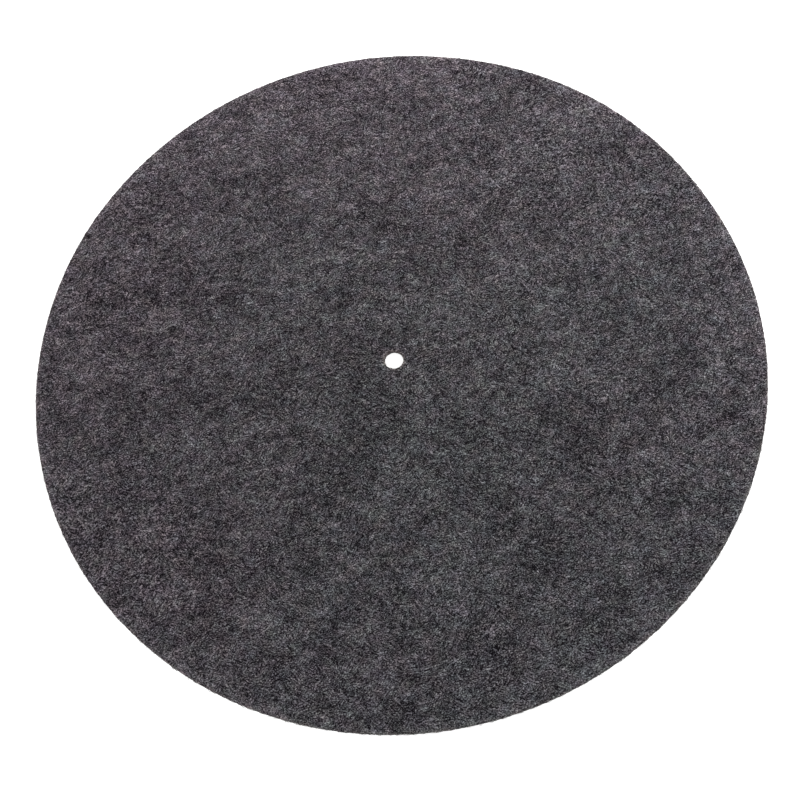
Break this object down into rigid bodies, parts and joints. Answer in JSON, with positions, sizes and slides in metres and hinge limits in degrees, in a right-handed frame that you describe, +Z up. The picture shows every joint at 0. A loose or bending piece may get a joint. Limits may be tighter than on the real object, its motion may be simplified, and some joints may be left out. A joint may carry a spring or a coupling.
{
  "type": "turntable platter mat",
  "caption": "Flat round felt mat with a small central spindle hole, laid on a record player's platter to cushion and grip a record.",
  "frame": {"origin": "centre of the spindle hole, on the face that rests on the platter", "axes": "+Z up along the spindle's axis, towards the record; the mat lies in the XY plane and is the same all round"},
  "size_m": [0.3, 0.3, 0.0025],
  "materials": {
    "felt": "needle-punched felt, heathered charcoal grey, matt and fuzzy"
  },
  "bodies": {
    "root": {"felt_mat": "felt"}
  },
  "joints": []
}
